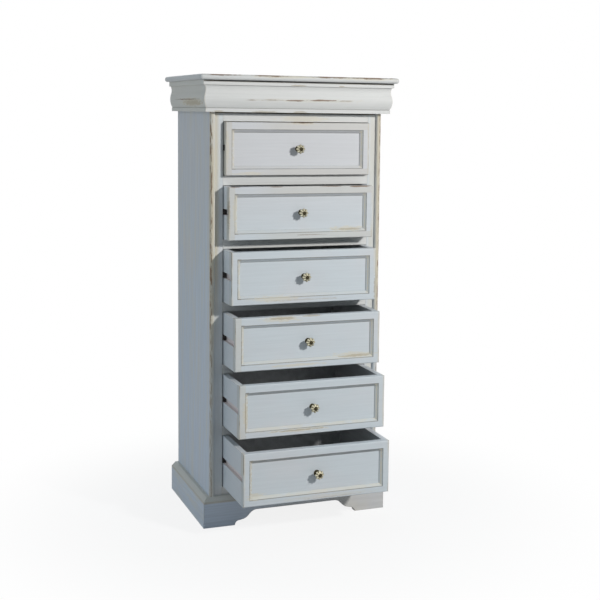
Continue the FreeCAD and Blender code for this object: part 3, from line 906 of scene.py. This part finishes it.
def knob_mesh(knob, seat):
    """A rosette on a waisted neck about the Y axis, its back at the origin and its face towards -Y.

    Its bolt runs back through the drawer front to a nut that ends at the seat.
    """
    turns = knob.petals * PETAL_STEPS
    mesh = bpy.data.meshes.new("cast_knob")
    shape = bmesh.new()
    age = shape.verts.layers.float.new("patina")
    circle = [2 * math.pi * i / turns for i in range(turns)]
    rings = [
        [shape.verts.new((BOLT_RADIUS * math.sin(a), y, BOLT_RADIUS * math.cos(a))) for a in circle]
        for y in (seat - NUT_DEPTH, 0.0)
    ]
    for vert in (*rings[0], *rings[1], *add_nut(shape, rings[0])):
        vert[age] = 0.9
    for share, scale, depth, dark in KNOB_OUTLINE:
        ring = []
        for angle in circle:
            valley = 1 - abs(math.cos(knob.petals * angle / 2)) ** PETAL_SWELL
            radius = knob.radius * scale * (1 - depth * valley)
            back = knob.reach * PETAL_DROP * depth * valley
            y = -knob.reach * share + (back if share > FACE_START else 0.0)
            vert = shape.verts.new((radius * math.sin(angle), y, radius * math.cos(angle)))
            vert[age] = min(1.0, dark + 1.1 * valley ** 1.4 * min(1.0, depth / 0.1))
            ring.append(vert)
        rings.append(ring)
    for ring, after in zip(rings, rings[1:]):
        for i in range(turns):
            j = (i + 1) % turns
            shape.faces.new((ring[i], ring[j], after[j], after[i]))
    tip = shape.verts.new((0, -knob.reach, 0))
    tip[age] = 0.8
    for i in range(turns):
        shape.faces.new((rings[-1][i], rings[-1][(i + 1) % turns], tip))
    bmesh.ops.recalc_face_normals(shape, faces=shape.faces)
    for face in shape.faces:
        face.smooth = len(face.verts) < 5 and face.calc_center_median().y < 0
    shape.to_mesh(mesh)
    shape.free()
    return mesh


def aged_metal(knob):
    """Worn metal, dark in the hollows between the petals."""
    it = Finish("aged_metal")
    patina = it.node("ShaderNodeAttribute", attribute_name="patina").outputs["Fac"]
    speck = it.noise((900.0, 900.0, 900.0), 4.0, 0.6)
    uneven = it.times(it.math("SUBTRACT", speck, 0.5), 0.7)
    dark = it.step(it.math("ADD", patina, uneven), 0.15, 0.85)
    it.shader.inputs["Metallic"].default_value = 0.75
    colour = it.mix(dark, tuple(knob.metal), tuple(knob.patina))
    return it.finish(colour, it.step(dark, 0.0, 1.0, 0.34, 0.7), speck, 0.15, distance=0.0003)


class SEMAINIER_OT_knobs(bpy.types.Operator):
    """Cast a rosette knob for each drawer"""

    bl_idname = "semainier.knobs"
    bl_label = "Knobs"

    def execute(self, context):
        knob = context.scene.semainier_knob
        low, high = (Vector(corner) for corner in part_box("drawer_1_knob"))
        mesh = knob_mesh(knob, high.y - low.y - knob.reach)
        mesh.materials.append(aged_metal(knob))
        for k in DRAWERS:
            low, high = (Vector(corner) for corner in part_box(f"drawer_{k}_knob"))
            piece = bpy.data.objects.new(f"knob_{k}", mesh.copy())
            piece.location = ((low.x + high.x) / 2, low.y + knob.reach, (low.z + high.z) / 2)
            context.scene.collection.objects.link(piece)
            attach(piece, f"drawer_{k}")
            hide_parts(f"drawer_{k}_knob")
        return {"FINISHED"}


FLOOR_SIZE = 30
FLOOR_DROP = 0.0005
FLOOR_GREY = (0.42, 0.42, 0.42)
FLOOR_WHITE = (0.9, 0.9, 0.9)
FLOOR_MIDDLE = (0.0, -0.3, 0.0)
SHADOW_NEAR, SHADOW_FAR = 0.35, 1.05
NEAR_GLOW = 0.86
SKY = (0.80, 0.915, 1.0)
KEY_COLOUR = (1.0, 0.985, 0.96)
KEY_SIZE = 0.28
KEY_AIM = (0.0, -0.4, 0.65)
SOFT_SIZE = 2.4
SOFT_AIM = (0.0, -0.3, 0.6)
SIDE_PLACE = (-3.6, -1.0, 1.3)
BACK_PLACE = (0.9, 3.3, 1.6)
SENSOR_WIDTH = 36.0
VIEW_END = 100.0


def pale_floor():
    """Pale to the other light and nearly white to the camera, with a soft shadow near the chest."""
    it = Finish("pale_floor")
    seen = it.background_rays()
    it.feed(it.shader.inputs["Base Color"], it.mix(seen, FLOOR_GREY, FLOOR_WHITE))
    it.shader.inputs["Roughness"].default_value = 0.9
    glow = it.node("ShaderNodeEmission")
    glow.inputs["Strength"].default_value = 1.0
    distance = it.vector("LENGTH", it.vector("SUBTRACT", it.place, FLOOR_MIDDLE), output="Value")
    share = it.times(seen, it.step(distance, SHADOW_NEAR, SHADOW_FAR, NEAR_GLOW, 1.0))
    it.surface("Material Output", share, it.shader.outputs[0], glow.outputs[0])
    return it.material


def even_light(fill):
    """Cool light from all round, and plain white where the camera looks past the floor."""
    world = bpy.data.worlds.new("even_light")
    world.use_nodes = True
    it = Nodes(world.node_tree)
    light = it.tree.nodes["Background"]
    white = it.node("ShaderNodeBackground")
    for background, colour, strength in ((light, SKY, fill), (white, (1.0, 1.0, 1.0), 1.0)):
        background.inputs["Color"].default_value = (*colour, 1.0)
        background.inputs["Strength"].default_value = strength
    it.surface("World Output", it.background_rays(), light.outputs[0], white.outputs[0])
    return world


def add_lamp(scene, name, shape, size, colour, power, place, aim):
    """An area lamp at a place, turned to what it lights."""
    lamp = bpy.data.lights.new(name, "AREA")
    lamp.shape = shape
    lamp.size = size
    lamp.color = colour
    lamp.energy = power
    hung = bpy.data.objects.new(name, lamp)
    hung.location = place
    hung.rotation_euler = (hung.location - Vector(aim)).to_track_quat("Z", "Y").to_euler()
    scene.collection.objects.link(hung)


def add_camera(scene, stage):
    """The camera, turned by its yaw, its pitch and then its roll."""
    lens = bpy.data.cameras.new("camera")
    lens.lens = stage.lens
    lens.sensor_width = SENSOR_WIDTH
    lens.shift_x, lens.shift_y = stage.shift
    lens.clip_end = VIEW_END
    right = Vector((math.cos(stage.yaw), -math.sin(stage.yaw), 0))
    ahead = Vector((
        math.sin(stage.yaw) * math.cos(stage.pitch),
        math.cos(stage.yaw) * math.cos(stage.pitch),
        -math.sin(stage.pitch),
    ))
    up = right.cross(ahead)
    rolled = right * math.cos(stage.roll) + up * math.sin(stage.roll)
    upright = up * math.cos(stage.roll) - right * math.sin(stage.roll)
    turn = Matrix((rolled, upright, -ahead)).transposed()
    camera = bpy.data.objects.new("camera", lens)
    camera.matrix_world = Matrix.Translation(stage.camera_place) @ turn.to_4x4()
    scene.collection.objects.link(camera)
    scene.camera = camera


class SEMAINIER_OT_stage(bpy.types.Operator):
    """Set up the floor, the lamps and the camera"""

    bl_idname = "semainier.stage"
    bl_label = "Stage"

    def execute(self, context):
        scene = context.scene
        stage = scene.semainier_stage
        scene.view_settings.view_transform = "Standard"
        bpy.ops.mesh.primitive_plane_add(size=FLOOR_SIZE, location=(0, 0, -FLOOR_DROP))
        floor = context.object
        floor.name = "floor"
        floor.data.materials.append(pale_floor())
        for lamp in (
            ("key", "DISK", KEY_SIZE, KEY_COLOUR, stage.key_power, stage.key_place, KEY_AIM),
            ("side", "SQUARE", SOFT_SIZE, SKY, stage.side_power, SIDE_PLACE, SOFT_AIM),
            ("back", "SQUARE", SOFT_SIZE, SKY, stage.back_power, BACK_PLACE, SOFT_AIM),
        ):
            add_lamp(scene, *lamp)
        scene.world = even_light(stage.fill)
        add_camera(scene, stage)
        return {"FINISHED"}


class SEMAINIER_PT_pieces(bpy.types.Panel):
    """The pieces of the chest"""

    bl_idname = "SEMAINIER_PT_pieces"
    bl_label = "Semainier"
    bl_space_type = "VIEW_3D"
    bl_region_type = "UI"
    bl_category = "Semainier"

    def draw(self, context):
        for operator in OPERATORS:
            self.layout.operator(operator.bl_idname)
        for name in SETTINGS:
            box = self.layout.box()
            group = getattr(context.scene, name)
            for prop in group.__annotations__:
                box.prop(group, prop)


SETTINGS = {
    "semainier_paint": PaintSettings,
    "semainier_wood": WoodSettings,
    "semainier_knob": KnobSettings,
    "semainier_stage": StageSettings,
}
OPERATORS = (
    SEMAINIER_OT_carcass,
    SEMAINIER_OT_top,
    SEMAINIER_OT_cornice,
    SEMAINIER_OT_plinth,
    SEMAINIER_OT_drawers,
    SEMAINIER_OT_runners,
    SEMAINIER_OT_knobs,
    SEMAINIER_OT_stage,
)
CLASSES = (*SETTINGS.values(), *OPERATORS, SEMAINIER_PT_pieces)


def register():
    for cls in CLASSES:
        bpy.utils.register_class(cls)
    for name, group in SETTINGS.items():
        setattr(bpy.types.Scene, name, bpy.props.PointerProperty(type=group))


def unregister():
    for name in SETTINGS:
        delattr(bpy.types.Scene, name)
    for cls in reversed(CLASSES):
        bpy.utils.unregister_class(cls)


def main():
    register()
    for name in ("carcass", "top", "cornice", "plinth", "drawers", "runners", "knobs", "stage"):
        getattr(bpy.ops.semainier, name)()


if __name__ == "__main__":
    main()
